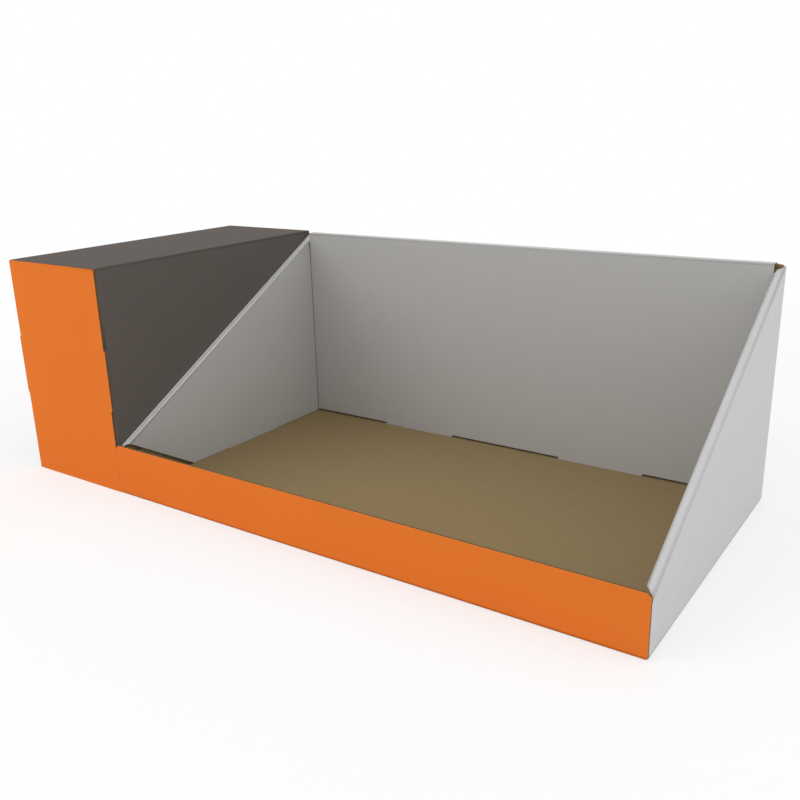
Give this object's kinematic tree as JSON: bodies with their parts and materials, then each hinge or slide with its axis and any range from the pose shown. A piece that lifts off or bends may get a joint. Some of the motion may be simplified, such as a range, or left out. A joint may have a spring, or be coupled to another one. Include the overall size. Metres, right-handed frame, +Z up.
{
  "type": "counter display bin",
  "caption": "Folded corrugated display: open tray with a low front lip, sloping double side walls and a high double back, beside a closed tower whose front folds up.",
  "frame": {"origin": "middle of the footprint, on the surface that the display stands on", "axes": "+X along the front, from the tower to the tray's free side; +Y from the front to the back; +Z up"},
  "size_m": [1.0024, 0.4626, 0.3335],
  "materials": {
    "orange_print": "satin",
    "dark_grey_print": "satin",
    "white_liner": "matte",
    "kraft_liner": "matte"
  },
  "bodies": {
    "display": {"tower_base": "dark_grey_print", "tower_left_wall": "dark_grey_print", "tower_right_wall": "dark_grey_print", "tower_top_panel": "dark_grey_print", "tower_back_panel": "dark_grey_print", "tower_base_glue_flap": "dark_grey_print", "tower_front_flap_left": "dark_grey_print", "tower_front_flap_right": "dark_grey_print", "tower_back_flap_left": "dark_grey_print", "tower_back_flap_right": "dark_grey_print", "tower_base_flap_front": "dark_grey_print", "tower_top_flap_back": "dark_grey_print", "tray_floor": "kraft_liner", "front_lip": "orange_print", "lip_corner_flap_left": "kraft_liner", "lip_corner_flap_right": "kraft_liner", "left_outer_wall": "white_liner", "right_outer_wall": "white_liner", "back_outer_wall": "white_liner", "back_corner_flap_left": "kraft_liner", "back_corner_flap_right": "kraft_liner"},
    "tower_front": {"tower_front_panel": "orange_print", "tower_front_tab_left": "orange_print", "tower_front_tab_right": "orange_print"},
    "left_roll": {"left_top_strip": "white_liner"},
    "left_inner": {"left_inner_wall": "white_liner", "left_lock_tab": "white_liner"},
    "right_roll": {"right_top_strip": "white_liner"},
    "right_inner": {"right_inner_wall": "white_liner", "right_lock_tab": "white_liner"},
    "back_roll": {"back_top_strip": "white_liner"},
    "back_inner": {"back_inner_wall": "white_liner", "back_lock_tab_left": "white_liner", "back_lock_tab_right": "white_liner"}
  },
  "joints": [
    {"name": "tower_front_hinge", "type": "hinge", "parent": "display", "child": "tower_front", "pos_m": [-0.4001, -0.23125, 0.3335], "axis": [-1, 0, 0], "range_deg": [0, 90]},
    {"name": "left_roll_hinge", "type": "hinge", "parent": "display", "child": "left_roll", "pos_m": [-0.30105, -0.22825, 0.0677], "axis": [0, -0.8697, -0.4936], "range_deg": [0, 90]},
    {"name": "left_inner_hinge", "type": "hinge", "parent": "left_roll", "child": "left_inner", "pos_m": [-0.28925, -0.22825, 0.0677], "axis": [0, -0.8697, -0.4936], "range_deg": [0, 90], "deforming": ["left_lock_tab"]},
    {"name": "right_roll_hinge", "type": "hinge", "parent": "display", "child": "right_roll", "pos_m": [0.50115, -0.22825, 0.0677], "axis": [0, 0.8697, 0.4936], "range_deg": [0, 90]},
    {"name": "right_inner_hinge", "type": "hinge", "parent": "right_roll", "child": "right_inner", "pos_m": [0.48935, -0.22825, 0.0677], "axis": [0, 0.8697, 0.4936], "range_deg": [0, 90], "deforming": ["right_lock_tab"]},
    {"name": "back_roll_hinge", "type": "hinge", "parent": "display", "child": "back_roll", "pos_m": [0.10005, 0.23125, 0.3315], "axis": [-1, 0, 0], "range_deg": [0, 90]},
    {"name": "back_inner_hinge", "type": "hinge", "parent": "back_roll", "child": "back_inner", "pos_m": [0.10005, 0.21625, 0.3315], "axis": [-1, 0, 0], "range_deg": [0, 90], "deforming": ["back_lock_tab_left", "back_lock_tab_right"]}
  ]
}
